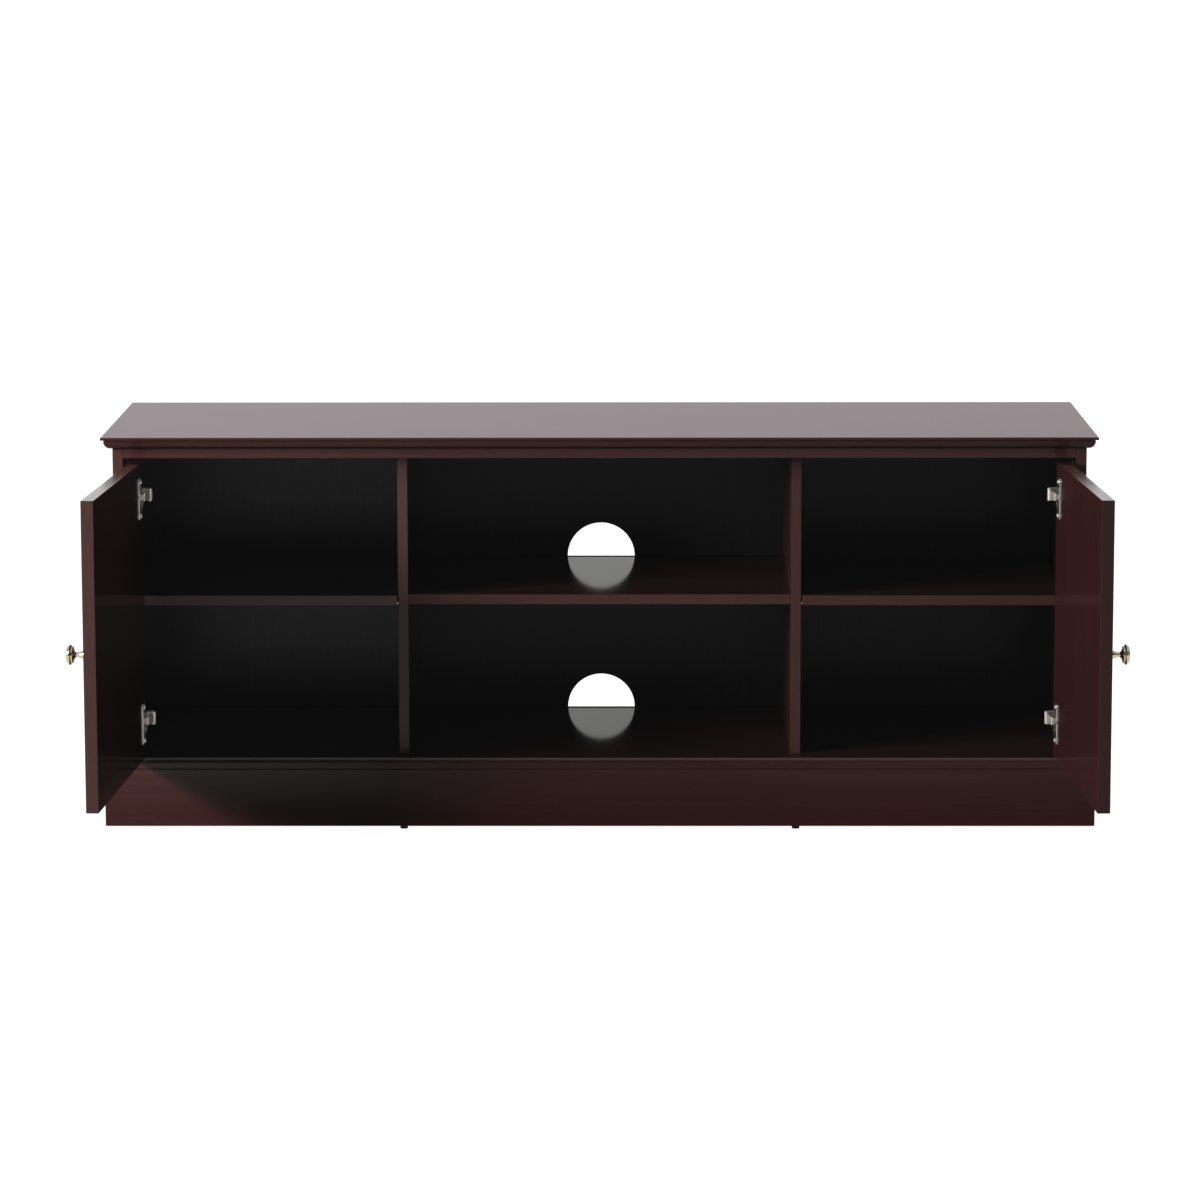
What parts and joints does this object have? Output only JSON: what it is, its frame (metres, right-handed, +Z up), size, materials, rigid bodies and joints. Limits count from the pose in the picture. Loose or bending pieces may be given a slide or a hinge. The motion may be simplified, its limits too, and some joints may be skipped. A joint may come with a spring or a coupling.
{
  "type": "tv stand",
  "caption": "Low wide television stand in dark mahogany finish: moulded top, open middle bay with shelf and cable notches, side bays behind inset doors on concealed hinges, skirted plinth.",
  "frame": {"origin": "on the floor, at the middle of the rectangle covered with both doors open as stored", "axes": "+X to the right seen from the front, +Y towards the back panels, +Z up; the doors open towards -Y"},
  "size_m": [1.5442, 0.8232, 0.614],
  "materials": {
    "mahogany": "semi-gloss dark mahogany",
    "back_board": "satin dark faced board",
    "plain_wood": "raw",
    "pale_brass": "satin",
    "nickel": "nickel plated",
    "zinc": "zinc plated",
    "black_plastic": "matt black"
  },
  "bodies": {
    "case": {"back_panel_screws": "zinc", "bottom_panel": "mahogany", "cam_bolts": "zinc", "cam_locks": "zinc", "centre_back_lower": "back_board", "centre_back_upper": "back_board", "centre_shelf": "mahogany", "corner_glides": "black_plastic", "divider_screws": "zinc", "dowels": "plain_wood", "foot_pads": "black_plastic", "front_apron": "mahogany", "left_arm_pins": "nickel", "left_arm_screws": "zinc", "left_back_panel": "back_board", "left_divider": "mahogany", "left_hinge_arms": "nickel", "left_hinge_plates": "nickel", "left_plate_screws": "zinc", "left_shelf": "mahogany", "left_side_panel": "mahogany", "plinth_corner_blocks": "plain_wood", "plinth_front": "mahogany", "plinth_left": "mahogany", "plinth_right": "mahogany", "right_arm_pins": "nickel", "right_arm_screws": "zinc", "right_back_panel": "back_board", "right_divider": "mahogany", "right_hinge_arms": "nickel", "right_hinge_plates": "nickel", "right_plate_screws": "zinc", "right_shelf": "mahogany", "right_side_panel": "mahogany", "shelf_pins": "zinc", "support_posts": "plain_wood", "top_panel": "mahogany"},
    "left_links": {"left_hinge_links": "nickel"},
    "right_links": {"right_hinge_links": "nickel"},
    "left_door": {"left_cup_pins": "nickel", "left_cup_screws": "zinc", "left_door": "mahogany", "left_hinge_cups": "nickel", "left_knob": "pale_brass", "left_knob_screw": "zinc"},
    "right_door": {"right_cup_pins": "nickel", "right_cup_screws": "zinc", "right_door": "mahogany", "right_hinge_cups": "nickel", "right_knob": "pale_brass", "right_knob_screw": "zinc"}
  },
  "joints": [
    {"name": "left_door_swing", "type": "hinge", "parent": "left_links", "child": "left_door", "pos_m": [-0.70571, -0.00699, 0.3455], "axis": [0, 0, -1], "range_deg": [-132.35, 9.2]},
    {"name": "left_link_swing", "type": "hinge", "parent": "case", "child": "left_links", "pos_m": [-0.6915, 0.01859, 0.3455], "axis": [0, 0, 1], "range_deg": [-39.05, 2.9]},
    {"name": "right_door_swing", "type": "hinge", "parent": "right_links", "child": "right_door", "pos_m": [0.70571, -0.00699, 0.3455], "axis": [0, 0, 1], "range_deg": [-132.35, 9.2]},
    {"name": "right_link_swing", "type": "hinge", "parent": "case", "child": "right_links", "pos_m": [0.6915, 0.01859, 0.3455], "axis": [0, 0, -1], "range_deg": [-39.05, 2.9]}
  ],
  "couplings": [
    {"joint": "left_link_swing", "follows": "left_door_swing", "ratio": 0.29355},
    {"joint": "right_link_swing", "follows": "right_door_swing", "ratio": 0.29355}
  ]
}
